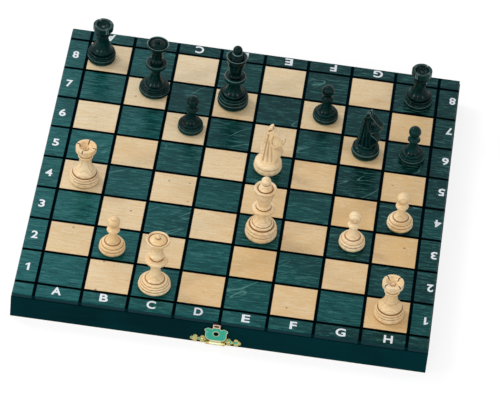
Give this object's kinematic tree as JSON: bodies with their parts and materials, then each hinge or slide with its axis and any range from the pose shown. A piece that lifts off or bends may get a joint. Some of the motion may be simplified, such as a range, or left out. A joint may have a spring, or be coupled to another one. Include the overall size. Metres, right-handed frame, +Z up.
{
  "type": "folding chess set",
  "caption": "Folding wooden chess set opened flat: stained and burnt squares with a coordinate border, felt-lined trays, a brass hasp, and turned men standing on the board.",
  "frame": {"origin": "on the table under the middle of the fold", "axes": "+X along the files from A to H, +Y from rank 1 to rank 8, +Z up"},
  "size_m": [0.3, 0.3014, 0.0798],
  "materials": {
    "board": "gloss lacquer over stained and natural squares",
    "case": "dark green stain, gloss lacquer",
    "light_men": "clear gloss lacquer",
    "dark_men": "dark green stain, gloss lacquer",
    "base_felt": "felt",
    "lining_felt": "felt",
    "brass": "thin stamped brass, tarnished",
    "hasp_lacquer": "green lacquered brass, bare at the edges"
  },
  "bodies": {
    "near_half": {"hinge_pins": "brass", "latch_pin": "brass", "latch_plate": "brass", "left_hinge_near_leaf": "brass", "near_fold_rail": "case", "near_left_rail": "case", "near_lining": "lining_felt", "near_nails": "brass", "near_outer_rail": "case", "near_panel": "board", "near_right_rail": "case", "right_hinge_near_leaf": "brass"},
    "far_half": {"catch_knob": "brass", "catch_plate": "brass", "far_fold_rail": "case", "far_left_rail": "case", "far_lining": "lining_felt", "far_nails": "brass", "far_outer_rail": "case", "far_panel": "board", "far_right_rail": "case", "left_hinge_far_leaf": "brass", "right_hinge_far_leaf": "brass"},
    "hasp": {"latch_hasp": "hasp_lacquer"},
    "dark_king": {"dark_king": "dark_men", "dark_king_felt": "base_felt"},
    "dark_knight": {"dark_knight_base": "dark_men", "dark_knight_felt": "base_felt", "dark_knight_head": "dark_men"},
    "dark_pawn_1": {"dark_pawn_1": "dark_men", "dark_pawn_1_felt": "base_felt"},
    "dark_pawn_2": {"dark_pawn_2": "dark_men", "dark_pawn_2_felt": "base_felt"},
    "dark_pawn_3": {"dark_pawn_3": "dark_men", "dark_pawn_3_felt": "base_felt"},
    "dark_queen": {"dark_queen": "dark_men", "dark_queen_felt": "base_felt"},
    "dark_rook_1": {"dark_rook_1": "dark_men", "dark_rook_1_felt": "base_felt"},
    "dark_rook_2": {"dark_rook_2": "dark_men", "dark_rook_2_felt": "base_felt"},
    "light_king": {"light_king": "light_men", "light_king_felt": "base_felt"},
    "light_knight": {"light_knight_base": "light_men", "light_knight_felt": "base_felt", "light_knight_head": "light_men"},
    "light_pawn_1": {"light_pawn_1": "light_men", "light_pawn_1_felt": "base_felt"},
    "light_pawn_2": {"light_pawn_2": "light_men", "light_pawn_2_felt": "base_felt"},
    "light_pawn_3": {"light_pawn_3": "light_men", "light_pawn_3_felt": "base_felt"},
    "light_queen": {"light_queen": "light_men", "light_queen_felt": "base_felt"},
    "light_rook_1": {"light_rook_1": "light_men", "light_rook_1_felt": "base_felt"},
    "light_rook_2": {"light_rook_2": "light_men", "light_rook_2_felt": "base_felt"}
  },
  "joints": [
    {"name": "fold", "type": "hinge", "parent": "near_half", "child": "far_half", "pos_m": [0, 0, 0.001], "axis": [-1, 0, 0], "range_deg": [0, 180]},
    {"name": "hasp_swing", "type": "hinge", "parent": "near_half", "child": "hasp", "pos_m": [-0.0015, -0.1488, 0.00375], "axis": [1, 0, 0], "range_deg": [0, 182.5]},
    {"name": "light_king_lift", "type": "slide", "parent": "near_half", "child": "light_king", "axis": [0, 0, 1], "range_m": [0, 0.06]},
    {"name": "light_queen_lift", "type": "slide", "parent": "near_half", "child": "light_queen", "axis": [0, 0, 1], "range_m": [0, 0.06]},
    {"name": "light_rook_1_lift", "type": "slide", "parent": "near_half", "child": "light_rook_1", "axis": [0, 0, 1], "range_m": [0, 0.06]},
    {"name": "light_rook_2_lift", "type": "slide", "parent": "near_half", "child": "light_rook_2", "axis": [0, 0, 1], "range_m": [0, 0.06]},
    {"name": "light_knight_lift", "type": "slide", "parent": "far_half", "child": "light_knight", "axis": [0, 0, 1], "range_m": [0, 0.06]},
    {"name": "light_pawn_1_lift", "type": "slide", "parent": "near_half", "child": "light_pawn_1", "axis": [0, 0, 1], "range_m": [0, 0.06]},
    {"name": "light_pawn_2_lift", "type": "slide", "parent": "near_half", "child": "light_pawn_2", "axis": [0, 0, 1], "range_m": [0, 0.06]},
    {"name": "light_pawn_3_lift", "type": "slide", "parent": "near_half", "child": "light_pawn_3", "axis": [0, 0, 1], "range_m": [0, 0.06]},
    {"name": "dark_king_lift", "type": "slide", "parent": "far_half", "child": "dark_king", "axis": [0, 0, 1], "range_m": [0, 0.06]},
    {"name": "dark_queen_lift", "type": "slide", "parent": "far_half", "child": "dark_queen", "axis": [0, 0, 1], "range_m": [0, 0.06]},
    {"name": "dark_rook_1_lift", "type": "slide", "parent": "far_half", "child": "dark_rook_1", "axis": [0, 0, 1], "range_m": [0, 0.06]},
    {"name": "dark_rook_2_lift", "type": "slide", "parent": "far_half", "child": "dark_rook_2", "axis": [0, 0, 1], "range_m": [0, 0.06]},
    {"name": "dark_knight_lift", "type": "slide", "parent": "far_half", "child": "dark_knight", "axis": [0, 0, 1], "range_m": [0, 0.06]},
    {"name": "dark_pawn_1_lift", "type": "slide", "parent": "far_half", "child": "dark_pawn_1", "axis": [0, 0, 1], "range_m": [0, 0.06]},
    {"name": "dark_pawn_2_lift", "type": "slide", "parent": "far_half", "child": "dark_pawn_2", "axis": [0, 0, 1], "range_m": [0, 0.06]},
    {"name": "dark_pawn_3_lift", "type": "slide", "parent": "far_half", "child": "dark_pawn_3", "axis": [0, 0, 1], "range_m": [0, 0.06]}
  ]
}
